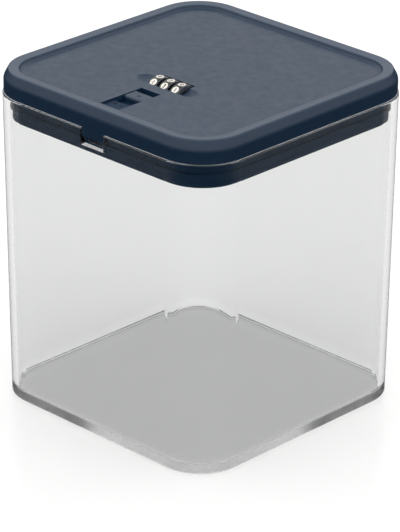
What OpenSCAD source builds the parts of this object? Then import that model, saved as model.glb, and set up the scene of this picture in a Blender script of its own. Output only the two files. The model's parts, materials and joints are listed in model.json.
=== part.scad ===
// Lockable box: a clear square canister whose lid holds a three-dial combination latch.
// The front, with the latch window, faces -Y. The lid is shown closed, with the bolt drawn back.

/* [Container] */
// Outside width of the container at its rim
rim_w = 100; // [92:1:120]
// How far each wall leans in from the rim to the base
wall_lean = 1.55; // [0:0.05:4]
// Height of the container from base to rim
container_h = 106.7; // [70:0.1:160]
// Radius of the upright corners at the rim
corner_r = 17; // [15:0.5:21]
// Thickness of the container's walls
wall = 2; // [1.8:0.1:2.4]
// Thickness of the container's base
base_t = 2.4; // [1.6:0.1:5]
// Radius round the outside of the base
base_edge_r = 0.6; // [0.3:0.1:1.5]
// Radius inside, where the walls meet the base
base_inner_r = 1.2; // [0.5:0.1:4]
// Radius on the two edges of the rim
rim_edge_r = 0.5; // [0.2:0.1:0.8]

/* [Lid cover] */
// Height of the cover's upright side
side_h = 4.6; // [4.3:0.1:5.2]
// Thickness of the cover's upright side
side_t = 2.4; // [2:0.1:2.8]
// Height of the sloped shoulder
shoulder_h = 3.15; // [2.5:0.05:4]
// Width of the sloped shoulder, seen from above
shoulder_w = 1.65; // [1.2:0.05:2.4]
// Width of the crest round the panel
crest_w = 3.4; // [2.6:0.1:3.8]
// How far the crest falls towards the panel
crest_fall = 0.3; // [0.1:0.05:0.5]
// Depth of the panel below the top of the crest
recess = 1.45; // [1.2:0.05:1.7]
// Width of the slope from the crest down to the panel
step_w = 0.5; // [0.4:0.1:1.2]
// Radius of the cove round the panel
cove_r = 1; // [0.5:0.1:1.2]
// Radius along the edges of the crest
crest_edge_r = 0.6; // [0.3:0.1:0.8]
// Radius between the upright side and the shoulder
shoulder_r = 3; // [0.5:0.1:4]
// Thickness of the panel
panel_t = 2; // [1.7:0.1:2.4]
// Height of the ledge that backs the seal
ledge_h = 1.6; // [1:0.1:2]
// Thickness of the tab over the latch window
tab_t = 0.6; // [0.5:0.05:0.7]
// How far the cover's upright side stands back from the rim
rim_show = 0.35; // [0.2:0.05:0.5]
// Radius along the lower edge of the cover
side_edge_r = 0.3; // [0.2:0.1:0.6]
// Radius inside the cover, where the side meets the ceiling
side_inner_r = 0.8; // [0.4:0.1:1.2]

/* [Lid base] */
// Gap between the collar and the container's wall
collar_gap = 1.1; // [0.9:0.1:1.4]
// Thickness of the collar
collar_t = 2.4; // [2:0.1:2.8]
// Thickness of the tray's floor
floor_t = 1.6; // [1.4:0.1:2.4]
// Radius along the lower edge of the collar
collar_edge_r = 0.8; // [0.3:0.1:1.4]
// Radius inside the tray, where the collar meets the floor
tray_inner_r = 1; // [0.5:0.1:1.5]
// Depth of the groove that holds the seal
groove_d = 1.1; // [0.8:0.1:1.4]
// How far the seal's body stands back from the collar
seal_set = 0.25; // [0.1:0.05:0.4]
// Thickness of the seal's lip
lip_t = 0.7; // [0.4:0.1:1]
// Height of the seal's neck, from the bottom of its groove to where the lip flares out
neck_h = 1.7; // [1.5:0.1:2.2]
// Radius of the seal's neck
neck_r = 3; // [2:0.1:3.2]

/* [Dials] */
// Distance from a dial's axis to its flats
dial_flat = 5.1; // [4.8:0.05:5.4]
// Height of the round between the flats
dial_crown = 0.23; // [0.15:0.01:0.26]
// Width of one dial
dial_w = 3.5; // [3.3:0.05:3.7]
// Distance from dial to dial
dial_pitch = 4.87; // [4.8:0.01:5.2]
// Distance from the slot to the dials
dial_gap = 3.57; // [3:0.01:5]
// Height of the dials above the panel
dial_rise = 1.15; // [0.8:0.05:1.4]
// Length of the dish round the dials
dish_len = 25.5; // [22:0.5:32]
// Width of the dish round the dials
dish_w = 6; // [4:0.1:8]
// Depth of the dish round the dials
dish_depth = 1.15; // [0.4:0.05:1.3]
// Distance of the dish's middle in front of the dials' axis
dish_shift = 1.6; // [0:0.1:2]

/* [Code lock] */
// Radius of the spindle
spindle_r = 1.2; // [1:0.05:1.25]
// Thickness of the spindle's fins
fin_t = 1.1; // [0.8:0.05:1.2]
// Distance from the spindle's axis to the tip of a fin
fin_reach = 2.6; // [2.4:0.05:2.7]
// Width of a fin across its radius
fin_w = 1.2; // [0.8:0.1:1.5]
// Thickness of the gate in a code sleeve
gate_t = 1.4; // [1:0.05:1.5]
// Outside radius of a code sleeve
sleeve_r = 3.6; // [3.4:0.05:3.9]
// Thickness of the lock frame's cheeks
cheek_t = 2.5; // [2.2:0.1:3]
// Length of the lock frame's cheeks
frame_len = 17.2; // [16:0.1:17.6]
// Length of the lock frame's floor
frame_floor_len = 11.6; // [11:0.1:12]
// Thickness of the lock frame's floor
frame_floor_t = 1.2; // [1:0.1:1.6]
// Thickness of the lock frame's ears
ear_t = 2; // [1.6:0.1:2.4]
// Height of the cover's bosses over the lock frame's ears
ear_boss_h = 3; // [2.4:0.1:3.2]
// Room under the dials for the detent spring
detent_room = 1.2; // [1.1:0.05:1.6]
// Thickness of the detent spring
detent_t = 0.35; // [0.25:0.05:0.45]
// Outside radius of the spindle's bushes
bush_r = 1.75; // [1.65:0.05:1.8]
// Width of the bushes' flanges
bush_flange_w = 0.7; // [0.4:0.1:1]
// Thickness of the bushes' flanges
bush_flange_t = 0.5; // [0.3:0.05:0.6]
// Radius of the drive pin
pin_r = 1; // [0.8:0.05:1.2]
// Wall round the drive pin in the spindle's arm
pin_wall = 0.6; // [0.5:0.05:0.7]

/* [Slider and bolt] */
// Distance of the whole lock to the right of the middle
lock_x = 1.4; // [-2:0.1:2]
// Distance from the front of the rim to the slot
slot_set = 7.8; // [7.2:0.1:9]
// Width of the slot
slot_w = 8.5; // [7.5:0.1:9.5]
// Length of the shallow step at the front of the slot
step_len = 6.25; // [5:0.05:7]
// Depth of the shallow step below the panel
step_depth = 1; // [0.5:0.05:1.2]
// Length of the well behind the slider
well_len = 2.7; // [2:0.1:4]
// Length of the slider's block
block_len = 5.4; // [4.8:0.1:7]
// Depth of the slider's top below the panel
block_drop = 0.2; // [0:0.05:0.6]
// Radius along the front of the slider's block
block_front_r = 0.7; // [0.5:0.1:2]
// Thickness of the slider's apron, which closes the slot
apron_t = 1.5; // [1.2:0.1:1.8]
// How far the slider's apron reaches beside the slot
apron_side = 1.4; // [1:0.1:1.6]
// Width of the slider's foot
foot_w = 7.2; // [6:0.1:8]
// Room in front of the slider when the bolt is out
slot_room = 1.3; // [0.3:0.1:2]
// Travel of the bolt
bolt_travel = 2.6; // [2.2:0.1:2.8]
// Thickness of the bolt plate
bolt_t = 1.4; // [1.2:0.05:1.6]
// Width of the bolt plate
bolt_w = 13; // [12:0.1:13.2]
// Width of the bolt's nose
nose_w = 8.4; // [7:0.1:9]
// Height of the bolt's nose
nose_t = 1.9; // [1.7:0.05:2.1]
// How far the bolt's nose stands out of the collar when it is drawn back
nose_proud = 0.3; // [0.1:0.1:0.5]
// Radius along the bolt's nose, which is round seen from the front
nose_corner_r = 0.7; // [0.3:0.1:0.8]
// Width of the latch window in the container
window_w = 10.1; // [9.6:0.1:12]
// Thickness of the bolt guide's floor
guide_floor_t = 1.4; // [1.2:0.1:1.8]
// Thickness of the bolt guide's rails
rail_t = 1.4; // [1.2:0.1:1.6]
// Width of the bolt guide's lips over the bolt
lip_w = 1; // [0.7:0.1:1.2]
// Height of the bolt guide's lips
lip_h = 1.6; // [1.2:0.1:1.8]
// Thickness of the leaf beside the bolt
leaf_t = 0.35; // [0.25:0.05:0.45]
// Length of the leaf between its posts
leaf_len = 8.4; // [8:0.1:8.6]
// Radius of the leaf's bump
leaf_bump_r = 0.6; // [0.5:0.05:0.7]

/* [Fasteners] */
// Radius of the lid screws' shanks
lid_screw_r = 1.2; // [1:0.05:1.4]
// Radius of the lid screws' heads
lid_head_r = 2.4; // [2.1:0.1:2.8]
// Length of the lid screws in their bosses
lid_screw_len = 8; // [6:0.5:9]
// Radius of the bosses for the lid screws
lid_boss_r = 3.2; // [2.6:0.1:4]
// Radius of the small screws' shanks
small_screw_r = 0.9; // [0.8:0.05:1]
// Radius of the small screws' heads
small_head_r = 1.8; // [1.5:0.1:2]
// Height of the small screws' round heads
small_head_h = 1.2; // [1:0.1:1.4]
// Length of the slider's screw
slider_screw_len = 6.5; // [5:0.1:7]
// Radius of the bosses for the small screws
small_boss_r = 2.3; // [2.1:0.1:2.5]

/* [Fits] */
// Gap between the rim and the lid
rim_gap = 0.1; // [0.05:0.05:0.3]
// Gap between the seal's lip and the container
seal_gap = 0.4; // [0.35:0.05:0.5]
// Gap beside the dials in their windows
window_play = 0.2; // [0.15:0.05:0.3]
// Gap under the bolt's nose in the latch window
nose_gap = 0.25; // [0.2:0.05:0.35]
// Gap over the bolt's nose in the latch window
strike_gap = 0.4; // [0.3:0.05:0.5]
// Gap between the bolt's nose and the lid's tab
tab_gap = 0.68; // [0.5:0.01:1]
// Gap from a fin to its gate at either end of the travel
fin_gap = 0.35; // [0.3:0.05:0.45]
// Radial gap round the drive pin in its ramp slot
ramp_fit = 0.12; // [0.1:0.01:0.15]
// Radial clearance of screws in the pieces that they pass through
screw_fit = 0.15; // [0.1:0.05:0.2]
// Gap round pieces that slide or turn past each other
play = 0.3; // [0.25:0.05:0.35]
// Gap under a piece that slides on another
slide_gap = 0.1; // [0.05:0.01:0.15]
// Radial clearance of shafts in their bores
run_fit = 0.05; // [0.03:0.01:0.08]
// Radial clearance of pieces fixed in their seats
seat_fit = 0.02; // [0.01:0.01:0.04]

/* [Hidden] */
$fn = 64;

// Colours
clear = [0.86, 0.89, 0.9, 0.35];
navy = [0.16, 0.21, 0.27];
soft_navy = [0.12, 0.16, 0.22];
silver = [0.78, 0.77, 0.74];
steel = [0.62, 0.63, 0.65];
brass = [0.72, 0.58, 0.32];
grey = [0.35, 0.36, 0.38];

// A small overlap that joins or cuts pieces cleanly
bite = 1;
// Numbers on a dial, and the half angle of one
digits = 10;
half_turn = 180 / digits;
// Cross recess in the screws, and the free depth past their tips
drive_w = 0.45;
drive_depth = 0.6;
tip_room = 0.6;

// Half widths, with the corner centres as the start of every swept outline
half = rim_w / 2;
core = half - corner_r;
base_out = corner_r - wall_lean;
inner = half - wall;
collar_half = inner - collar_gap;
collar_out = collar_half - core;
collar_in = collar_out - collar_t;
ledge_in = collar_out + play;

// Heights of the lid's outside
rim_z = container_h;
lid_z = rim_z + rim_gap;
shoulder_z = lid_z + side_h;
crest_z = shoulder_z + shoulder_h;
panel_z = crest_z - recess;
ceiling_z = panel_z - panel_t;

// Places along the lock, from the front edge back to the dials
slot_front = -half + slot_set;
step_end = slot_front + step_len;
block_front = step_end + slot_room + bolt_travel;
block_rear = block_front + block_len;
slot_rear = block_rear + well_len;
dial_r = dial_flat + dial_crown;
dial_y = slot_rear + dial_gap + dial_r;
dial_z = panel_z + dial_rise - dial_flat;

// Dial stack, spindle and frame
dial_xs = [-dial_pitch, 0, dial_pitch];
sleeve_in = fin_reach + play;
spindle_travel = gate_t + fin_t + 2 * fin_gap;
cheek_in = dial_pitch + dial_w / 2 + play;
cheek_out = cheek_in + cheek_t;
pocket_d = 0.5;
frame_floor_z = dial_z - dial_r - detent_room;
frame_z = frame_floor_z - frame_floor_t;
frame_lift = 1.7;
ear_r = small_boss_r + play;
ear_space = 0.5;
ear_x = cheek_out + small_boss_r + ear_space;
ear_y = frame_len / 2 - bite;
ear_z = ceiling_z - ear_boss_h - ear_t;
peg_r = 0.6;
peg_wall = 0.7;
peg_set = 1.5;
peg_y = dial_y + frame_floor_len / 2 - peg_set;

// Heights of the tray, bolt and seal, from the lock down and up again
tray_floor_z = frame_z - frame_lift;
tray_z = tray_floor_z - floor_t;
bolt_z = tray_floor_z + guide_floor_t + 2 * slide_gap;
bolt_top = bolt_z + bolt_t;
nose_top = bolt_z + nose_t;
window_z = bolt_z - nose_gap;
window_top = nose_top + strike_gap;
tab_z = nose_top + tab_gap;
tab_front = -half + rim_show;
groove_z = tray_floor_z;
collar_top = ceiling_z - play;

// Places along the bolt
plate_gap = 0.8;
nose_tip = -collar_half - nose_proud;
plate_front = -collar_half + collar_t + bolt_travel + plate_gap;
plate_rear = dial_y - frame_floor_len / 2 - 2 * plate_gap - play;
nose_root = 4;
bridge_len = 4.6;
bridge_front = block_rear - nose_root;
arm_space = 0.5;
arm_in = cheek_out + bush_flange_t + arm_space;
pin_x = arm_in + pin_r + pin_wall + arm_space;
ramp_wall = 1.2;
ramp_edge = pin_r + ramp_wall;
arm_out = pin_x + spindle_travel + ramp_edge;
arm_rear = dial_y + bolt_travel + ramp_edge;
arm_lift = 0.8;
screw_y = (block_front + block_rear) / 2;

// Bolt detent, in front of the frame's left cheek
post_half = 0.8;
post_back = 1.6;
post_front = 0.5;
leaf_end = post_half / 2;
leaf_half = leaf_len / 2;
leaf_y = dial_y - frame_len / 2 - play - post_half - leaf_half;
leaf_gap = 0.2;
leaf_x = -bolt_w / 2 - leaf_gap - leaf_bump_r;
notch_r = leaf_bump_r + play;

// Bolt guide, in front of the bolt's bridge and the leaf's posts
guide_front = -collar_half + collar_t + tray_inner_r + slide_gap;
guide_rear = min(bridge_front - bolt_travel, leaf_y - leaf_half - post_half) - 2 * play;
guide_y = (guide_front + guide_rear) / 2;
rail_in = bolt_w / 2 + play;
rail_out = rail_in + rail_t;
lip_z = bolt_top + play;
guide_top = lip_z + lip_h;
guide_ear_x = rail_out + small_boss_r + slide_gap;

// Points of a fillet of radius r at corner b, between its neighbours a and c
function unit(v) = v / norm(v);
function fillet(a, b, c, r, n = 5) =
    let (u = unit(a - b), v = unit(c - b), turn = acos(u * v) / 2)
    let (mid = b + unit(u + v) * r / sin(turn), start = b + u * r / tan(turn), end = b + v * r / tan(turn))
    let (a0 = atan2(start.y - mid.y, start.x - mid.x), a1 = atan2(end.y - mid.y, end.x - mid.x))
    let (sweep = (a1 - a0 + 900) % 360 - 180)
    [for (i = [0:n]) mid + r * [cos(a0 + sweep * i / n), sin(a0 + sweep * i / n)]];

// Outline through corners given as [x, y, radius]
function flat(p) = [p.x, p.y];
function rounded(pts) =
    let (n = len(pts))
    [for (i = [0:n - 1]) let (b = pts[i], a = pts[(i + n - 1) % n], c = pts[(i + 1) % n])
        each b.z > 0 ? fillet(flat(a), flat(b), flat(c), b.z) : [flat(b)]];

// Outline of a slot with round ends, from the origin along X
function round_slot(length, r, n = 16) = [
    for (i = [0:n]) r * [cos(90 + 180 * i / n), sin(90 + 180 * i / n)],
    for (i = [0:n]) [length, 0] + r * [cos(-90 + 180 * i / n), sin(-90 + 180 * i / n)]];

// Sweeps an outline, drawn outward from the corner centres, round the square
module square_sweep() {
    for (k = [0:3]) rotate([0, 0, 90 * k]) {
        translate([core, 0, 0]) rotate([90, 0, 0]) linear_extrude(2 * core, center = true) children();
        translate([core, core, 0]) rotate_extrude(angle = 90) children();
    }
}

// Fills the square between the corner centres
module core_block(z, h) {
    translate([-core, -core, z]) cube([2 * core, 2 * core, h]);
}

// Box from one corner to the opposite one
module span(a, b) {
    translate(a) cube(b - a);
}

// Cylinder along X, centred on the dials' axis
module along_axis(x0, x1, r) {
    translate([x0, dial_y, dial_z]) rotate([0, 90, 0]) cylinder(r = r, h = x1 - x0);
}

// Outline in Y and Z, extruded to a width centred on X
module side_shape(pts, w) {
    translate([-w / 2, 0, 0]) rotate([90, 0, 90]) linear_extrude(w) polygon(pts);
}

// Screw with a flat cone head at z = 0 and its shank up +Z
module flat_screw(head_r, r, length) {
    difference() {
        union() {
            cylinder(r1 = head_r, r2 = r, h = head_r - r);
            cylinder(r = r, h = length);
        }
        cross_recess(head_r);
    }
}

// Cross recess for a driver, up from z = 0
module cross_recess(head_r) {
    reach = head_r * 0.6;
    for (a = [0, 90]) rotate([0, 0, a])
        span([-reach, -drive_w / 2, -bite], [reach, drive_w / 2, drive_depth]);
}

// Hole for a flat screw
module flat_screw_hole(head_r, r, length) {
    cylinder(r1 = head_r + seat_fit, r2 = r + seat_fit, h = head_r - r);
    translate([0, 0, -bite]) cylinder(r = head_r + seat_fit, h = bite);
    cylinder(r = r + slide_gap, h = length);
}

// Screw with a round head below z = 0 and its shank up +Z
module pan_screw(length) {
    difference() {
        union() {
            translate([0, 0, -small_head_h]) cylinder(r = small_head_r, h = small_head_h);
            cylinder(r = small_screw_r, h = length);
        }
        translate([0, 0, -small_head_h]) cross_recess(small_head_r);
    }
}

// Place of the lock, whose pieces are drawn about x = 0
module at_lock() {
    translate([lock_x, 0, 0]) children();
}

// Places of the lid screws, at the corner centres
module at_corners() {
    for (x = [-core, core], y = [-core, core]) translate([x, y, 0]) children();
}

// Places of the lock frame's ears
module at_ears() {
    for (x = [-ear_x, ear_x], y = [-ear_y, ear_y]) translate([x, dial_y + y, 0]) children();
}

// Places of the bolt guide's ears
module at_guide_ears() {
    for (x = [-guide_ear_x, guide_ear_x]) translate([x, guide_y, 0]) children();
}

module container() {
    outline = rounded([
        [0, 0, 0],
        [base_out, 0, base_edge_r],
        [corner_r, rim_z, rim_edge_r],
        [corner_r - wall, rim_z, rim_edge_r],
        [base_out - wall, base_t, base_inner_r],
        [0, base_t, 0]]);
    color(clear) difference() {
        union() {
            square_sweep() polygon(outline);
            core_block(0, base_t);
        }
        // Recess for the lid's tab, which leaves the strike behind it
        at_lock() span([-window_w / 2, -half - bite, window_z],
            [window_w / 2, tab_front + tab_t + play, rim_z + bite]);
        // Latch window through the wall, under the strike
        at_lock()
            span([-window_w / 2, -half - bite, window_z], [window_w / 2, -inner + bite, window_top]);
    }
}

module lid_cover() {
    side_out = corner_r - rim_show;
    crest_out = side_out - shoulder_w;
    crest_in = crest_out - crest_w;
    outline = rounded([
        [ledge_in, lid_z, 0],
        [side_out, lid_z, side_edge_r],
        [side_out, shoulder_z, shoulder_r],
        [crest_out, crest_z, crest_edge_r],
        [crest_in, crest_z - crest_fall, crest_edge_r],
        [crest_in - step_w, panel_z, cove_r],
        [0, panel_z, 0],
        [0, ceiling_z, 0],
        [corner_r - side_t, ceiling_z, side_inner_r],
        [corner_r - side_t, lid_z + ledge_h, 0],
        [ledge_in, lid_z + ledge_h, 0]]);
    tab_w = window_w - 2 * play;
    color(navy) difference() {
        union() {
            square_sweep() polygon(outline);
            core_block(ceiling_z, panel_t);
            at_lock()
                span([-tab_w / 2, tab_front, tab_z], [tab_w / 2, tab_front + tab_t, lid_z + ledge_h / 2]);
            at_corners() translate([0, 0, tray_floor_z + slide_gap])
                cylinder(r = lid_boss_r, h = ceiling_z - tray_floor_z - slide_gap + bite / 2);
            at_lock() at_ears() translate([0, 0, ceiling_z - ear_boss_h])
                cylinder(r = small_boss_r, h = ear_boss_h + bite / 2);
        }
        at_corners() translate([0, 0, tray_floor_z])
            cylinder(r = lid_screw_r + seat_fit, h = lid_screw_len + tip_room);
        at_lock() {
            dial_dish();
            for (x = dial_xs)
                along_axis(x - dial_w / 2 - window_play, x + dial_w / 2 + window_play, dial_r + play);
            span([-slot_w / 2, step_end, ceiling_z - bite], [slot_w / 2, slot_rear, panel_z + bite]);
            span([-slot_w / 2, slot_front, panel_z - step_depth],
                [slot_w / 2, step_end + bite, panel_z + bite]);
            at_ears() translate([0, 0, ear_z])
                cylinder(r = small_screw_r + seat_fit, h = ear_t + ear_boss_h + tip_room);
        }
    }
}

// Shallow scoop with round ends, cut in the panel round the dials
module dial_dish() {
    scoop_r = (dish_w * dish_w / 4 + dish_depth * dish_depth) / (2 * dish_depth);
    reach = (dish_len - dish_w) / 2;
    translate([0, dial_y - dish_shift, panel_z - dish_depth + scoop_r]) {
        rotate([0, 90, 0]) cylinder(r = scoop_r, h = 2 * reach, center = true);
        for (x = [-reach, reach]) translate([x, 0, 0]) sphere(r = scoop_r);
    }
}

module lid_base() {
    groove_in = collar_out - groove_d;
    pad_len = frame_floor_len / 2;
    outline = rounded([
        [0, tray_z, 0],
        [collar_out, tray_z, collar_edge_r],
        [collar_out, groove_z, 0],
        [groove_in, groove_z, 0],
        [groove_in, lid_z, 0],
        [collar_out, lid_z, 0],
        [collar_out, collar_top, 0],
        [collar_in, collar_top, 0],
        [collar_in, tray_floor_z, tray_inner_r],
        [0, tray_floor_z, 0]]);
    color(navy) difference() {
        union() {
            square_sweep() polygon(outline);
            core_block(tray_z, floor_t);
            at_lock() {
                // Posts under the bolt guide's ears
                at_guide_ears() translate([0, 0, tray_floor_z - bite])
                    cylinder(r = small_boss_r, h = lip_z - tray_floor_z + bite);
                // Pad under the bolt's arm
                span([pin_x, dial_y - pad_len, tray_floor_z - bite],
                    [arm_out, dial_y - pad_len / 2, bolt_z - slide_gap]);
                leaf_posts();
            }
        }
        at_corners() translate([0, 0, tray_z]) flat_screw_hole(lid_head_r, lid_screw_r, floor_t + bite);
        at_lock() {
            nose_slot();
            at_guide_ears() translate([0, 0, tray_floor_z])
                cylinder(r = small_screw_r + seat_fit, h = lip_z - tray_floor_z + bite);
        }
    }
}

// Two slotted posts that hold the ends of the bolt's leaf
module leaf_posts() {
    for (s = [-1, 1]) difference() {
        span([leaf_x - leaf_t - post_back, leaf_y + s * leaf_half - post_half, tray_floor_z - bite],
            [leaf_x + post_front, leaf_y + s * leaf_half + post_half, bolt_top]);
        span([leaf_x - leaf_t - seat_fit, leaf_y - leaf_half - leaf_end, bolt_z - slide_gap],
            [leaf_x + seat_fit, leaf_y + leaf_half + leaf_end, bolt_top + bite]);
    }
}

module seal_ring() {
    lip_out = inner - core - seal_gap;
    body_out = collar_out - seal_set;
    body_in = collar_out - groove_d + seat_fit;
    ring_z = groove_z + seat_fit;
    ring_top = lid_z - seat_fit;
    flare_z = ring_z + neck_h;
    lip_low = flare_z + lip_out - body_out;
    outline = rounded([
        [body_in, ring_z, 0],
        [body_out, ring_z, 0],
        [body_out, flare_z, neck_r],
        [lip_out, lip_low, 0],
        [lip_out, lip_low + lip_t, 0],
        [body_out, lip_low + lip_t, 0],
        [body_out, ring_top, 0],
        [body_in, ring_top, 0]]);
    color(soft_navy) difference() {
        square_sweep() polygon(outline);
        at_lock() nose_slot();
    }
}

// Slot for the bolt's nose, through the collar and the seal
module nose_slot() {
    span([-nose_w / 2 - play, -half, window_z],
        [nose_w / 2 + play, -collar_half + collar_t + bite, nose_top + play]);
}

module lock_frame() {
    partition_t = dial_pitch - dial_w - 2 * play;
    partition_front = dial_y - sleeve_r - bite;
    partition_rear = dial_y + sleeve_r - bite;
    pocket_r = fin_reach + play;
    floor_half = frame_floor_len / 2;
    color(grey) difference() {
        union() {
            span([-cheek_out, dial_y - floor_half, frame_z], [cheek_out, dial_y + floor_half, frame_floor_z]);
            for (s = [0, 1]) mirror([s, 0, 0]) {
                span([cheek_in, dial_y - frame_len / 2, frame_z],
                    [cheek_out, dial_y + frame_len / 2, ceiling_z - slide_gap]);
                // Arms out to the ears that hang the frame from the cover
                for (y = [-ear_y, ear_y])
                    span([cheek_in, dial_y + y - bite, ear_z], [ear_x, dial_y + y + bite, ear_z + ear_t]);
            }
            at_ears() translate([0, 0, ear_z]) cylinder(r = ear_r, h = ear_t);
            // Partitions between the dials
            for (x = [-dial_pitch / 2, dial_pitch / 2])
                span([x - partition_t / 2, partition_front, frame_z],
                    [x + partition_t / 2, partition_rear, dial_z]);
            // Pegs that hold the detent spring
            for (x = [-dial_pitch, dial_pitch]) translate([x, peg_y, frame_z])
                cylinder(r = peg_r, h = frame_floor_t + 2 * detent_t);
        }
        along_axis(-cheek_in - pocket_d, cheek_in + pocket_d, pocket_r);
        // Seats for the bushes, open at the top, which the cover closes
        along_axis(-cheek_out - bite, cheek_out + bite, bush_r + seat_fit);
        span([-cheek_out - bite, dial_y - bush_r - seat_fit, dial_z],
            [cheek_out + bite, dial_y + bush_r + seat_fit, ceiling_z]);
        at_ears() translate([0, 0, ear_z - bite])
            cylinder(r = small_screw_r + screw_fit, h = ear_t + 2 * bite);
    }
}

// Dial with ten round flats, one of them facing up
module dial(k) {
    x = dial_xs[k - 1];
    color(silver) difference() {
        translate([x, dial_y, dial_z]) intersection() {
            sphere(r = dial_r);
            rotate([0, 90, 0]) rotate([0, 0, half_turn])
                cylinder(r = dial_flat / cos(half_turn), h = dial_w, center = true, $fn = digits);
        }
        along_axis(x - dial_w, x + dial_w, sleeve_r + seat_fit);
    }
}

module dial_1() { dial(1); }
module dial_2() { dial(2); }
module dial_3() { dial(3); }

// Sleeve fixed in a dial, with a gate that one slot opens
module code_sleeve(k) {
    x = dial_xs[k - 1];
    slot = fin_w + 2 * play;
    color(brass) difference() {
        along_axis(x - dial_w / 2, x + dial_w / 2, sleeve_r);
        along_axis(x - dial_w, x + dial_w, spindle_r + run_fit);
        along_axis(x - dial_w, x - gate_t / 2, sleeve_in);
        along_axis(x + gate_t / 2, x + dial_w, sleeve_in);
        span([x - dial_w, dial_y - slot / 2, dial_z - sleeve_in], [x + dial_w, dial_y + slot / 2, dial_z]);
    }
}

module code_sleeve_1() { code_sleeve(1); }
module code_sleeve_2() { code_sleeve(2); }
module code_sleeve_3() { code_sleeve(3); }

// Shaft with one fin for each sleeve and an arm that the bolt's ramp drives
module spindle() {
    arm_half = pin_r + pin_wall;
    color(steel) difference() {
        union() {
            along_axis(-cheek_out - spindle_travel - play, pin_x - pin_r, spindle_r);
            for (x = dial_xs)
                span([x - gate_t / 2 - fin_gap - fin_t, dial_y - fin_w / 2, dial_z - fin_reach],
                    [x - gate_t / 2 - fin_gap, dial_y + fin_w / 2, dial_z]);
            span([pin_x - arm_half, dial_y - arm_half, bolt_top + arm_lift],
                [pin_x + arm_half, dial_y + arm_half, dial_z + spindle_r]);
        }
        translate([pin_x, dial_y, 0]) cylinder(r = pin_r + seat_fit, h = dial_z);
    }
}

module drive_pin() {
    pin_z = bolt_z + slide_gap;
    color(steel) translate([pin_x, dial_y, pin_z]) cylinder(r = pin_r, h = dial_z - pin_z);
}

// Bush in a cheek of the lock frame, with a flange cut flat under the cover
module bush() {
    flange_end = cheek_out + bush_flange_t;
    color(brass) difference() {
        union() {
            along_axis(cheek_in + pocket_d, cheek_out, bush_r);
            along_axis(cheek_out, flange_end, bush_r + bush_flange_w);
        }
        along_axis(cheek_in - bite, flange_end + bite, spindle_r + run_fit);
        span([cheek_in - bite, dial_y - bush_r - bite, ceiling_z - slide_gap],
            [flange_end + bite, dial_y + bush_r + bite, ceiling_z + bush_r]);
    }
}

module left_bush() { mirror([1, 0, 0]) bush(); }
module right_bush() { bush(); }

// Leaf comb on the frame's floor, with one hump under each dial
module detent_spring() {
    finger_w = dial_w - bite;
    hump = detent_room - play - detent_t;
    root_y = peg_y - peg_r - peg_wall;
    tip_y = dial_y - finger_w;
    back_y = peg_y + peg_r + peg_wall;
    z = frame_floor_z;
    finger = [
        [root_y + bite, z],
        [root_y + bite, z + detent_t],
        [root_y, z + detent_t],
        [dial_y, z + hump + detent_t],
        [tip_y, z + hump / 2 + detent_t],
        [tip_y, z + hump / 2],
        [dial_y, z + hump],
        [root_y, z]];
    color(steel) difference() {
        union() {
            span([-dial_pitch - dial_w / 2, root_y, z], [dial_pitch + dial_w / 2, back_y, z + detent_t]);
            for (x = dial_xs) translate([x, 0, 0]) side_shape(finger, finger_w);
        }
        for (x = [-dial_pitch, dial_pitch]) translate([x, peg_y, z - bite])
            cylinder(r = peg_r + run_fit, h = detent_t + 2 * bite);
    }
}

// Thumb block over an apron that closes the slot, and a foot that stands on the bolt
module thumb_slider() {
    top = panel_z - block_drop;
    apron_top = ceiling_z - play;
    apron_half = slot_w / 2 + apron_side;
    apron_rear = dial_y - dial_r - play - slide_gap;
    root_z = apron_top - apron_t / 2;
    mark_r = 0.8;
    block = rounded([
        [block_front, root_z, 0],
        [block_front, top, block_front_r],
        [block_rear, top, play],
        [block_rear, root_z, 0]]);
    color(navy) difference() {
        union() {
            side_shape(block, slot_w - 2 * play);
            span([-apron_half, block_front - bolt_travel, apron_top - apron_t],
                [apron_half, apron_rear, apron_top]);
            span([-foot_w / 2, block_front + play, bolt_top], [foot_w / 2, block_rear - play, root_z]);
        }
        // Mark on the thumb block
        translate([0, screw_y, top + mark_r / 2]) sphere(r = mark_r);
        translate([0, screw_y, bolt_z])
            cylinder(r = small_screw_r + seat_fit, h = slider_screw_len + tip_room);
    }
}

// Bolt plate with its nose, and an arm whose ramp slot drives the spindle
module latch_bolt() {
    nose = rounded([
        [-nose_w / 2, bolt_z, nose_corner_r],
        [nose_w / 2, bolt_z, nose_corner_r],
        [nose_w / 2, nose_top, nose_corner_r],
        [-nose_w / 2, nose_top, nose_corner_r]]);
    nose_end = plate_front + nose_root;
    ramp_r = pin_r + ramp_fit;
    cut_h = bolt_t + 2 * bite;
    ramp = [spindle_travel, bolt_travel];
    color(steel) difference() {
        union() {
            span([-bolt_w / 2, plate_front, bolt_z], [bolt_w / 2, plate_rear, bolt_top]);
            translate([0, nose_end, 0]) rotate([90, 0, 0]) linear_extrude(nose_end - nose_tip) polygon(nose);
            span([bolt_w / 2 - bite, bridge_front, bolt_z], [arm_out, bridge_front + bridge_len, bolt_top]);
            span([arm_in, bridge_front, bolt_z], [arm_out, arm_rear, bolt_top]);
        }
        // Ramp slot from the pin's place at rest to its place when locked
        translate([pin_x, dial_y, bolt_z - bite]) rotate([0, 0, atan2(ramp.y, ramp.x)])
            linear_extrude(cut_h) polygon(round_slot(norm(ramp), ramp_r));
        translate([0, screw_y, bolt_z]) flat_screw_hole(small_head_r, small_screw_r, bolt_t + bite);
        // Notches for the leaf, at rest and when locked
        for (y = [0, bolt_travel]) translate([leaf_x + play, leaf_y + y, bolt_z - bite])
            cylinder(r = notch_r, h = cut_h);
    }
}

module slider_screw() {
    color(steel) translate([0, screw_y, bolt_z]) flat_screw(small_head_r, small_screw_r, slider_screw_len);
}

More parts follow.
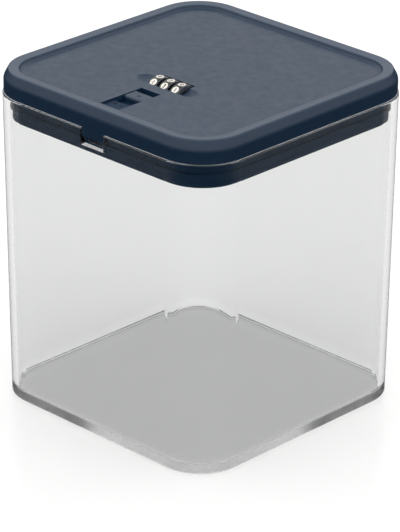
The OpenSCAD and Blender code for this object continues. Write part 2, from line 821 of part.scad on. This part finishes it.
// Channel round the bolt plate, with lips over its edges and an ear at each side
module bolt_guide() {
    floor_z = tray_floor_z + slide_gap;
    color(grey) difference() {
        union() {
            span([-rail_out, guide_front, floor_z], [rail_out, guide_rear, bolt_z - slide_gap]);
            for (s = [0, 1]) mirror([s, 0, 0]) {
                span([rail_in, guide_front, floor_z], [rail_out, guide_rear, guide_top]);
                span([rail_in - lip_w, guide_front, lip_z], [rail_out, guide_rear, guide_top]);
                span([rail_in, guide_y - small_boss_r, lip_z],
                    [guide_ear_x, guide_y + small_boss_r, guide_top]);
            }
            at_guide_ears() translate([0, 0, lip_z]) cylinder(r = small_boss_r, h = guide_top - lip_z);
        }
        at_guide_ears() translate([0, 0, lip_z - bite])
            cylinder(r = small_screw_r + screw_fit, h = lip_h + 2 * bite);
    }
}

// Leaf beside the bolt plate, with a round bump for its notches
module bolt_detent() {
    reach = leaf_half + leaf_end - seat_fit;
    color(steel) {
        span([leaf_x - leaf_t, leaf_y - reach, bolt_z], [leaf_x, leaf_y + reach, bolt_top]);
        intersection() {
            translate([leaf_x, leaf_y, bolt_z]) cylinder(r = leaf_bump_r, h = bolt_t);
            span([leaf_x - leaf_t / 2, leaf_y - bite, bolt_z], [leaf_x + bite, leaf_y + bite, bolt_top]);
        }
    }
}

module frame_screws() {
    color(steel) at_ears() translate([0, 0, ear_z]) pan_screw(ear_t + ear_boss_h);
}

module guide_screws() {
    length = guide_top - tray_floor_z - tip_room;
    color(steel) at_guide_ears() translate([0, 0, guide_top]) mirror([0, 0, 1]) pan_screw(length);
}

module lid_screws() {
    length = floor_t + lid_screw_len;
    color(steel) at_corners() translate([0, 0, tray_z]) flat_screw(lid_head_r, lid_screw_r, length);
}

container();
lid_cover();
lid_base();
seal_ring();
at_lock() lock_frame();
at_lock() dial_1();
at_lock() dial_2();
at_lock() dial_3();
at_lock() code_sleeve_1();
at_lock() code_sleeve_2();
at_lock() code_sleeve_3();
at_lock() spindle();
at_lock() drive_pin();
at_lock() left_bush();
at_lock() right_bush();
at_lock() detent_spring();
at_lock() thumb_slider();
at_lock() latch_bolt();
at_lock() slider_screw();
at_lock() bolt_guide();
at_lock() bolt_detent();
at_lock() frame_screws();
at_lock() guide_screws();
lid_screws();
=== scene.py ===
import json
import math

import bmesh
import bpy
from mathutils import Matrix, Vector


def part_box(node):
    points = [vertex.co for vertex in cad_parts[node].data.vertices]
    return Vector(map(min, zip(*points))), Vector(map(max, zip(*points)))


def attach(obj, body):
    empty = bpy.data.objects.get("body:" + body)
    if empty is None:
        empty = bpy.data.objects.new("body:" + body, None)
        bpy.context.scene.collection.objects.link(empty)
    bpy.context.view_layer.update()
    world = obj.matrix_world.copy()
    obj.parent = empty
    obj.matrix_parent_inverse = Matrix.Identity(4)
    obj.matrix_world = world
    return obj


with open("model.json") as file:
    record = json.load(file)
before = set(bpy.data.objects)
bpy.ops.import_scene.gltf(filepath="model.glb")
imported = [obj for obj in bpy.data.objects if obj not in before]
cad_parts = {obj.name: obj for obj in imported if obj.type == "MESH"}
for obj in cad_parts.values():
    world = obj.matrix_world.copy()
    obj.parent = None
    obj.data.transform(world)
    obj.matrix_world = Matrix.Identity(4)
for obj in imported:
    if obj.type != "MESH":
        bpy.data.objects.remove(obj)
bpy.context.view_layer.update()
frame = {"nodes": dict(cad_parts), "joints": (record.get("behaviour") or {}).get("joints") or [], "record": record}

MM = 0.001
UP = Vector((0, 0, 1))

# Camera: angles in degrees, places in metres, focal length in pixels of the 400 by 532 picture
CAMERA_AZIMUTH = 44.206
CAMERA_ELEVATION = 24.455
CAMERA_ROLL = 0.437
CAMERA_DISTANCE = 1.1175
CAMERA_AIM = Vector((0, 0, 0.0444))
CAMERA_SIDE = 0.00017
CAMERA_NEAR = 0.01
CAMERA_FAR = 20
FOCAL_PIXELS = 3400
PICTURE_H = 532
SENSOR = 36

# Stage, in metres
STAGE_R = 2.5
STAGE_WALL_H = 2.2
STAGE_BEND_R = 0.9
STAGE_BEND_STEPS = 12
STAGE_SIDES = 96
STAGE_MERGE = 0.01 * MM
FLOOR_DROP = 0.05 * MM
FLOOR_COLOUR = (0.6, 0.599, 0.597, 1)
FLOOR_GLOW = 0.42
FLOOR_GLOW_COLOUR = (1, 0.995, 0.99, 1)

# Light: the ramp's pairs are a height, from straight down at 0 to straight up at 1, and a brightness
DOME_STRENGTH = 1.22
DOME_LEAN = 0.06
DOME_RAMP = ((0.0, 0.04), (0.5, 0.05), (0.55, 0.5), (0.61, 0.82), (0.72, 0.93), (0.92, 1.0))
LIGHT_BOUNCES = 40

# Dials: the number on top of each at rest, its joint, and the middle one's place across the lid
TOP_DIGITS = {"dial_1": 0, "dial_2": 2, "dial_3": 0}
DIALS = dict(zip(TOP_DIGITS, (j for j in frame["joints"] if j.get("continuous"))))
LOCK_X = DIALS["dial_2"]["pos_m"][0]

# Numbers on a dial's flats, and the bright round face under each
DIGITS = 10
DIGIT_SIZE = 2.0 * MM
DIGIT_SWELL = 0.05 * MM
DIGIT_DEPTH = 0.02 * MM
DIGIT_CURVE_STEPS = 6
FACE_R = 1.3 * MM
FACE_BLUR = 0.02 * MM

# Front step of the slot: its place behind the lid's front edge, and the extent of its coarse grain
STEP_SET = 12.0 * MM
GRIP_REACH = 6.5 * MM
GRIP_DEPTH = 0.1 * MM

# Marks on that step: each has a place to the right of the middle dial and a number of sides
MARKS = ((-2.2 * MM, 24), (0.6 * MM, 4))
MARK_R = 0.6 * MM

# Crest of the lid: a band at its top gets a painted highlight colour and a smoother finish; polish is the share of
# the roughness that is left
CREST_BAND_DEPTH = 0.4 * MM
CREST_FADE = 0.1 * MM
CREST_HIGHLIGHT = (0.02, 0.046, 0.088, 1)
CREST_POLISH = 0.75

# Jar: the satin edge of its rim, its satin underside, and the heights between which the base, tinted clearer as
# painted light, turns into the greyer wall
RIM_DEPTH = 0.45 * MM
RIM_ROUGHNESS = 0.25
UNDERSIDE_ROUGHNESS = 0.2
UNDERSIDE_FADE = (0.02 * MM, 0.3 * MM)
BASE_FADE = (2 * MM, 6 * MM)

# Stretch of the noise that draws lines along one axis
ALONG_X = (0.05, 1, 1)
ALONG_Y = (1, 0.05, 1)
ALONG_Z = (1, 1, 0.04)

# Softened edges: samples, and the cosines of the turn between which an edge counts as rubbed
EDGE_SAMPLES = 6
EDGE_COSINES = (0.8, 0.985)


# Node helpers

class Shader:
    """A new material with a Principled shader, and short calls for the nodes that feed it."""

    def __init__(self, name):
        self.material = bpy.data.materials.new(name)
        self.material.use_nodes = True
        self.tree = self.material.node_tree
        self.bsdf = self.tree.nodes["Principled BSDF"]
        self.coords = self.node("ShaderNodeTexCoord").outputs["Object"]

    def node(self, kind, **values):
        made = self.tree.nodes.new(kind)
        for key, value in values.items():
            setattr(made, key, value)
        return made

    def link(self, output, target):
        self.tree.links.new(output, target)

    def to(self, name, output):
        self.link(output, self.bsdf.inputs[name])

    def set(self, **values):
        for key, value in values.items():
            self.bsdf.inputs[key.replace("_", " ").title().replace("Ior", "IOR")].default_value = value

    def stretched(self, scale):
        mapping = self.node("ShaderNodeMapping")
        mapping.inputs["Scale"].default_value = scale
        self.link(self.coords, mapping.inputs["Vector"])
        return mapping.outputs["Vector"]

    def noise(self, scale, detail, stretch=None):
        made = self.node("ShaderNodeTexNoise")
        made.inputs["Scale"].default_value = scale
        made.inputs["Detail"].default_value = detail
        self.link(self.stretched(stretch) if stretch else self.coords, made.inputs["Vector"])
        return made.outputs["Fac"]

    def spread(self, value, low, high, start=0.3, end=0.7):
        """A value moved from the range start to end, where most noise lies, to the range low to high."""
        made = self.node("ShaderNodeMapRange")
        made.inputs["From Min"].default_value = start
        made.inputs["From Max"].default_value = end
        made.inputs["To Min"].default_value = low
        made.inputs["To Max"].default_value = high
        self.link(value, made.inputs["Value"])
        return made.outputs["Result"]

    def mix(self, factor, first, second):
        made = self.node("ShaderNodeMix", data_type="RGBA")
        self.link(factor, made.inputs["Factor"])
        for colour, socket in ((first, made.inputs["A"]), (second, made.inputs["B"])):
            if isinstance(colour, tuple):
                socket.default_value = colour
            else:
                self.link(colour, socket)
        return made.outputs["Result"]

    def clouds(self, first, second, scale, detail, start=0.3, end=0.7):
        """Two colours in soft clouds."""
        return self.mix(self.spread(self.noise(scale, detail), 0, 1, start, end), first, second)

    def bump(self, height, distance, strength, normal=None):
        made = self.node("ShaderNodeBump")
        made.inputs["Strength"].default_value = strength
        made.inputs["Distance"].default_value = distance
        self.link(height, made.inputs["Height"])
        if normal is not None:
            self.link(normal, made.inputs["Normal"])
        return made.outputs["Normal"]

    def soft_edges(self, radius):
        made = self.node("ShaderNodeBevel", samples=EDGE_SAMPLES)
        made.inputs["Radius"].default_value = radius
        return made.outputs["Normal"]

    def edge_mask(self, soft_normal):
        """One on edges and zero on flat stretches."""
        dot = self.node("ShaderNodeVectorMath", operation="DOT_PRODUCT")
        self.link(soft_normal, dot.inputs[0])
        self.link(self.node("ShaderNodeNewGeometry").outputs["Normal"], dot.inputs[1])
        return self.spread(dot.outputs["Value"], 1, 0, *EDGE_COSINES)

    def times(self, first, second):
        made = self.node("ShaderNodeMath", operation="MULTIPLY")
        for value, socket in zip((first, second), made.inputs):
            if isinstance(value, float):
                socket.default_value = value
            else:
                self.link(value, socket)
        return made.outputs["Value"]

    def larger(self, first, second):
        made = self.node("ShaderNodeMath", operation="MAXIMUM")
        self.link(first, made.inputs[0])
        self.link(second, made.inputs[1])
        return made.outputs["Value"]

    def height(self):
        made = self.node("ShaderNodeSeparateXYZ")
        self.link(self.coords, made.inputs["Vector"])
        return made.outputs["Z"]

    def distance(self, point, keep=(1, 1, 1)):
        """Distance from a point, along the axes that are kept."""
        made = self.node("ShaderNodeVectorMath", operation="DISTANCE")
        self.link(self.stretched(keep), made.inputs[0])
        made.inputs[1].default_value = [a * k for a, k in zip(point, keep)]
        return made.outputs["Value"]


# Places taken from the frame

def dial_centre(node):
    return Vector(DIALS[node]["pos_m"])


def dial_flat(node):
    """Distance of a dial's flats from its axis."""
    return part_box(node)[1].z - dial_centre(node).z


def step_floor(x):
    """Point on the floor of the slot's front step, given its place across the lid."""
    low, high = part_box("lid_cover")
    start = Vector((x, low.y + STEP_SET, high.z))
    return frame["nodes"]["lid_cover"].ray_cast(start, -UP)[1]


# Materials, one function each

def grip(s):
    """Roughness of the coarse grain on the floor of the slot's front step, and nothing elsewhere."""
    place = step_floor(LOCK_X)
    level = s.spread(s.distance(place, (0, 0, 1)), 1, 0, GRIP_DEPTH / 2, GRIP_DEPTH)
    near = s.spread(s.distance(place, (1, 1, 0)), 1, 0, GRIP_REACH, GRIP_REACH + GRIP_DEPTH)
    return s.times(s.times(level, near), s.spread(s.noise(1800, 3), 0.85, 1))


def navy_plastic(name, deep, pale, edge, roughness, shine=0.5):
    """Satin moulded plastic: fine grain, faint clouding, edges rubbed a little brighter, and a painted highlight
    along the crest.
    """
    s = Shader(name)
    soft = s.soft_edges(0.08 * MM)
    grain = s.noise(420, 4)
    worn = s.mix(s.edge_mask(soft), s.clouds(deep, pale, 70, 4), edge)
    crest_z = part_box("lid_cover")[1].z
    # Band along the top of the crest: a painted highlight in its colour, and a smoother roughness
    crest_highlight_band = s.spread(s.height(), 0, 1, crest_z - CREST_BAND_DEPTH - CREST_FADE, crest_z - CREST_BAND_DEPTH)
    s.to("Base Color", s.mix(crest_highlight_band, worn, s.mix(grain, edge, CREST_HIGHLIGHT)))
    satin = s.spread(grain, roughness - 0.05, roughness + 0.05)
    polish = s.spread(crest_highlight_band, 1, CREST_POLISH, 0, 1)
    s.to("Roughness", s.larger(s.times(satin, polish), grip(s)))
    orange_peel = s.bump(s.noise(650, 2), 0.012 * MM, 0.35, soft)
    s.to("Normal", s.bump(s.noise(6500, 2), 0.01 * MM, 0.35, orange_peel))
    s.set(specular_ior_level=shine)
    return s.material


def clear_plastic():
    """Clear moulded plastic with slight waves and hairline scratches, satin underneath and along its rim."""
    s = Shader("clear_plastic")
    rim_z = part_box("container")[1].z
    rim = s.spread(s.height(), 0, 1, rim_z - RIM_DEPTH, rim_z - RIM_DEPTH / 2)
    # Painted light: the base is tinted clearer than the walls to lift the shade on the floor under the jar
    wall = s.spread(s.height(), 0, 1, *BASE_FADE)
    walls_grey_base_painted_lighter = s.mix(wall, (0.93, 0.935, 0.935, 1), (0.84, 0.847, 0.845, 1))
    # Painted highlight colour: the band along the rim is tinted blue
    s.to("Base Color", s.mix(rim, walls_grey_base_painted_lighter, (0.78, 0.86, 0.96, 1)))
    scratches = s.spread(s.noise(300, 5, ALONG_Z), 0.012, 0.05, 0.62, 0.8)
    underside = s.spread(s.height(), UNDERSIDE_ROUGHNESS, 0, *UNDERSIDE_FADE)
    s.to("Roughness", s.larger(s.larger(scratches, underside), s.times(rim, RIM_ROUGHNESS)))
    s.to("Normal", s.bump(s.noise(28, 1), 0.05 * MM, 0.12))
    s.set(transmission_weight=1.0, ior=1.49, specular_tint=(0.03, 0.04, 0.05, 1))
    return s.material


def soft_rubber():
    """Matt seal rubber with a powdery surface."""
    s = Shader("seal_rubber")
    s.to("Base Color", s.clouds((0.01, 0.029, 0.062, 1), (0.013, 0.034, 0.07, 1), 160, 4))
    powder = s.noise(900, 3)
    s.to("Roughness", s.spread(powder, 0.55, 0.72))
    s.to("Normal", s.bump(powder, 0.004 * MM, 0.3))
    s.set(specular_ior_level=0.02)
    return s.material


def turned_metal(name, dark, bright, roughness, lines):
    """Plated or turned metal: fine lines along one axis, soft edges, small stains."""
    s = Shader(name)
    s.to("Base Color", s.clouds(bright, dark, 500, 5, 0.35, 0.75))
    s.to("Roughness", s.spread(s.noise(900, 4), roughness - 0.06, roughness + 0.08))
    s.to("Normal", s.bump(s.noise(700, 3, lines), 0.006 * MM, 0.3, s.soft_edges(0.12 * MM)))
    s.set(metallic=1.0)
    return s.material


def blackened_steel():
    """Blackened steel with a painted highlight along its edges in the colour of bare metal."""
    s = Shader("blackened_steel")
    soft = s.soft_edges(0.2 * MM)
    dark = s.clouds((0.03, 0.032, 0.045, 1), (0.05, 0.05, 0.06, 1), 500, 5)
    # Painted highlight: edges are turned to a pale bare-metal colour
    s.to("Base Color", s.mix(s.edge_mask(soft), dark, (0.62, 0.56, 0.47, 1)))
    s.to("Roughness", s.spread(s.noise(900, 4), 0.3, 0.42))
    s.to("Normal", s.bump(s.noise(700, 3, ALONG_X), 0.006 * MM, 0.3, soft))
    s.set(metallic=1.0)
    return s.material


def dial_metal(node):
    """Bright round faces and metal sides on a dial painted dark between its faces as shade, found by distance from
    its middle and its axis.
    """
    s = Shader(f"{node}_metal")
    centre = dial_centre(node)
    flat = dial_flat(node)
    half_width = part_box(node)[1].x - centre.x
    face_edge = math.hypot(flat, FACE_R)
    inside = s.spread(s.distance(centre), 1, 0, face_edge - FACE_BLUR, face_edge + FACE_BLUR)
    outside = s.spread(s.distance(centre, (0, 1, 1)), 0, 1, flat - 3 * FACE_BLUR, flat - 2 * FACE_BLUR)
    face = s.times(inside, outside)
    side = s.spread(s.distance(centre, (1, 0, 0)), 0, 1, half_width - 4 * FACE_BLUR, half_width - FACE_BLUR)
    bright = s.clouds((0.9, 0.87, 0.81, 1), (0.74, 0.7, 0.63, 1), 600, 5, 0.35, 0.75)
    # Painted shade: the dial is dark between its bright faces
    dark = s.clouds((0.012, 0.011, 0.011, 1), (0.03, 0.027, 0.025, 1), 900, 4)
    s.to("Base Color", s.mix(side, s.mix(face, dark, bright), (0.3, 0.31, 0.33, 1)))
    s.to("Metallic", s.larger(face, side))
    s.to("Roughness", s.spread(s.noise(1200, 4), 0.24, 0.38))
    s.to("Normal", s.bump(s.noise(900, 3, ALONG_X), 0.005 * MM, 0.3, s.soft_edges(0.1 * MM)))
    return s.material


def frame_plastic():
    """Plain grey moulded plastic of the inner frame and guide."""
    s = Shader("frame_plastic")
    s.to("Base Color", s.clouds((0.035, 0.037, 0.042, 1), (0.055, 0.058, 0.064, 1), 120, 4))
    s.to("Roughness", s.spread(s.noise(500, 3), 0.42, 0.58))
    s.to("Normal", s.bump(s.noise(3500, 2), 0.012 * MM, 0.4, s.soft_edges(0.2 * MM)))
    return s.material


def dial_ink():
    """Matt black paint of the numbers and marks."""
    s = Shader("dial_ink")
    s.to("Base Color", s.clouds((0.006, 0.006, 0.007, 1), (0.02, 0.019, 0.018, 1), 1500, 3))
    s.to("Roughness", s.spread(s.noise(2500, 3), 0.7, 0.9))
    s.to("Normal", s.bump(s.noise(9000, 2), 0.004 * MM, 0.4))
    s.set(specular_ior_level=0.1)
    return s.material


def floor_paint():
    """Pale glossy table top, which outside surfaces don't mirror, so that the dark lid stays dark."""
    s = Shader("floor")
    s.to("Roughness", s.spread(s.noise(9, 4), 0.1, 0.16))
    s.set(base_color=FLOOR_COLOUR, ior=1.45)
    s.set(emission_color=FLOOR_GLOW_COLOUR, emission_strength=FLOOR_GLOW)
    path = s.node("ShaderNodeLightPath")
    outside = s.spread(path.outputs["Transmission Depth"], 1, 0, 0, 1)
    seen = s.node("ShaderNodeMixShader")
    s.link(s.times(path.outputs["Is Glossy Ray"], outside), seen.inputs["Fac"])
    s.link(s.bsdf.outputs["BSDF"], seen.inputs[1])
    s.link(s.node("ShaderNodeBsdfTransparent").outputs["BSDF"], seen.inputs[2])
    s.link(seen.outputs["Shader"], s.tree.nodes["Material Output"].inputs["Surface"])
    return s.material


# Stage, light and camera

def new_object(name, made, material):
    """An object with the faces of a bmesh, which is freed."""
    mesh = bpy.data.meshes.new(name)
    made.to_mesh(mesh)
    made.free()
    mesh.materials.append(material)
    new = bpy.data.objects.new(name, mesh)
    bpy.context.scene.collection.objects.link(new)
    return new


def make_stage():
    """A round floor that bends up into a pale wall. It lights no matt surface and casts no shadow."""
    bend_x = STAGE_R - STAGE_BEND_R
    profile = [(0, 0), (bend_x, 0)]
    for i in range(1, STAGE_BEND_STEPS + 1):
        angle = math.radians(90 * i / STAGE_BEND_STEPS)
        profile.append((bend_x + STAGE_BEND_R * math.sin(angle), STAGE_BEND_R * (1 - math.cos(angle))))
    profile.append((STAGE_R, STAGE_WALL_H))
    made = bmesh.new()
    points = [made.verts.new((r, 0, z)) for r, z in profile]
    edges = [made.edges.new(pair) for pair in zip(points, points[1:])]
    bmesh.ops.spin(made, geom=points + edges, axis=UP, cent=(0, 0, 0), steps=STAGE_SIDES, angle=math.tau)
    bmesh.ops.remove_doubles(made, verts=made.verts, dist=STAGE_MERGE)
    bmesh.ops.recalc_face_normals(made, faces=made.faces)
    for face in made.faces:
        face.smooth = True
    floor = new_object("floor", made, floor_paint())
    floor.location.z = -FLOOR_DROP
    floor.visible_diffuse = False
    floor.visible_shadow = False


def make_dome():
    """Soft light from above that fades towards the horizon, a little stronger on the camera's side."""
    world = bpy.data.worlds.new("dome")
    world.use_nodes = True
    bpy.context.scene.world = world
    nodes, links = world.node_tree.nodes, world.node_tree.links
    coords = nodes.new("ShaderNodeTexCoord")
    azimuth = math.radians(CAMERA_AZIMUTH)
    rise = nodes.new("ShaderNodeVectorMath")
    rise.operation = "DOT_PRODUCT"
    rise.inputs[1].default_value = (DOME_LEAN * math.sin(azimuth), -DOME_LEAN * math.cos(azimuth), 1)
    height = nodes.new("ShaderNodeMapRange")
    height.inputs["From Min"].default_value = -1
    ramp = nodes.new("ShaderNodeValToRGB")
    elements = ramp.color_ramp.elements
    for place, level in DOME_RAMP:
        element = elements.new(place)
        element.color = (level, level, level, 1)
    # A new ramp already has an element at either end
    elements.remove(elements[len(elements) - 1])
    elements.remove(elements[0])
    links.new(coords.outputs["Generated"], rise.inputs[0])
    links.new(rise.outputs["Value"], height.inputs["Value"])
    links.new(height.outputs["Result"], ramp.inputs["Fac"])
    links.new(ramp.outputs["Color"], nodes["Background"].inputs["Color"])
    nodes["Background"].inputs["Strength"].default_value = DOME_STRENGTH


def make_camera():
    """The camera that was fitted to the photo."""
    azimuth, elevation, roll = (math.radians(a) for a in (CAMERA_AZIMUTH, CAMERA_ELEVATION, CAMERA_ROLL))
    level = math.cos(elevation)
    back = Vector((math.sin(azimuth) * level, -math.cos(azimuth) * level, math.sin(elevation)))
    right = (-back).cross(UP).normalized()
    up = right.cross(-back)
    turned_right = right * math.cos(roll) + up * math.sin(roll)
    turned_up = up * math.cos(roll) - right * math.sin(roll)
    data = bpy.data.cameras.new("camera")
    data.sensor_width = SENSOR
    data.lens = FOCAL_PIXELS * SENSOR / PICTURE_H
    data.clip_start = CAMERA_NEAR
    data.clip_end = CAMERA_FAR
    camera = bpy.data.objects.new("camera", data)
    turn = Matrix((turned_right, turned_up, back)).transposed().to_4x4()
    place = CAMERA_AIM + right * CAMERA_SIDE + back * CAMERA_DISTANCE
    camera.matrix_world = Matrix.Translation(place) @ turn
    bpy.context.scene.collection.objects.link(camera)
    bpy.context.scene.camera = camera


# Numbers and marks

def digit_mesh(digit):
    """A flat number centred on the origin, standing up along Y and facing Z."""
    curve = bpy.data.curves.new("digit", "FONT")
    curve.body = str(digit)
    curve.size = DIGIT_SIZE
    curve.align_x = "CENTER"
    curve.extrude = DIGIT_DEPTH / 2
    curve.offset = DIGIT_SWELL
    curve.resolution_u = DIGIT_CURVE_STEPS
    text = bpy.data.objects.new("digit", curve)
    bpy.context.scene.collection.objects.link(text)
    mesh = bpy.data.meshes.new_from_object(text.evaluated_get(bpy.context.evaluated_depsgraph_get()))
    bpy.data.objects.remove(text)
    bpy.data.curves.remove(curve)
    low = min(v.co.y for v in mesh.vertices)
    high = max(v.co.y for v in mesh.vertices)
    mesh.transform(Matrix.Translation((0, -(low + high) / 2, 0)))
    return mesh


def number_dial(node, ink):
    """A number on each flat of one dial."""
    numbers = bmesh.new()
    on_flat = Matrix.Translation((0, 0, dial_flat(node)))
    for i in range(DIGITS):
        mesh = digit_mesh((TOP_DIGITS[node] + i) % DIGITS)
        turn = Matrix.Translation(dial_centre(node)) @ Matrix.Rotation(math.tau * i / DIGITS, 4, "X")
        mesh.transform(turn @ on_flat)
        numbers.from_mesh(mesh)
        bpy.data.meshes.remove(mesh)
    piece = new_object(f"{node}_numbers", numbers, ink)
    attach(piece, DIALS[node]["child"])


def mark_slot(ink):
    """A round mark and a square one on the floor of the slot's front step."""
    marks = bmesh.new()
    for x, sides in MARKS:
        bmesh.ops.create_cone(marks, cap_ends=True, segments=sides, radius1=MARK_R, radius2=MARK_R,
                              depth=DIGIT_DEPTH, matrix=Matrix.Translation(step_floor(LOCK_X + x)))
    piece = new_object("slot_marks", marks, ink)
    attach(piece, "lid")


# Put everything together

make_camera()
make_stage()
make_dome()

by_slot = {
    "clear_plastic": clear_plastic(),
    "navy_plastic": navy_plastic("navy_plastic", deep=(0.004, 0.023, 0.056, 1),
                                 pale=(0.005, 0.026, 0.061, 1), edge=(0.012, 0.034, 0.073, 1),
                                 roughness=0.42),
    "seal_rubber": soft_rubber(),
    "frame_plastic": frame_plastic(),
    "brass": turned_metal("brass", dark=(0.07, 0.06, 0.045, 1), bright=(0.14, 0.12, 0.09, 1),
                          roughness=0.34, lines=ALONG_X),
    "steel": turned_metal("steel", dark=(0.42, 0.42, 0.43, 1), bright=(0.6, 0.6, 0.61, 1),
                          roughness=0.34, lines=ALONG_Y),
}
by_node = {node: dial_metal(node) for node in DIALS}
by_node["latch_bolt"] = blackened_steel()
# The plug's navy is painted lighter than the cover's: painted light where little light reaches it behind the clear
# wall
by_node["lid_base"] = navy_plastic("navy_plug_painted_lighter", deep=(0.01, 0.031, 0.066, 1),
                                   pale=(0.012, 0.034, 0.071, 1), edge=(0.02, 0.045, 0.08, 1),
                                   roughness=0.6, shine=0.02)
for row in frame["record"]["subparts"]:
    node = row["node"]
    frame["nodes"][node].material_slots[0].material = by_node.get(node) or by_slot[row["material_slot"]]

ink = dial_ink()
for node in DIALS:
    number_dial(node, ink)
mark_slot(ink)

scene = bpy.context.scene
scene.view_settings.view_transform = "Standard"
scene.cycles.max_bounces = LIGHT_BOUNCES
scene.cycles.glossy_bounces = LIGHT_BOUNCES
scene.cycles.transmission_bounces = LIGHT_BOUNCES
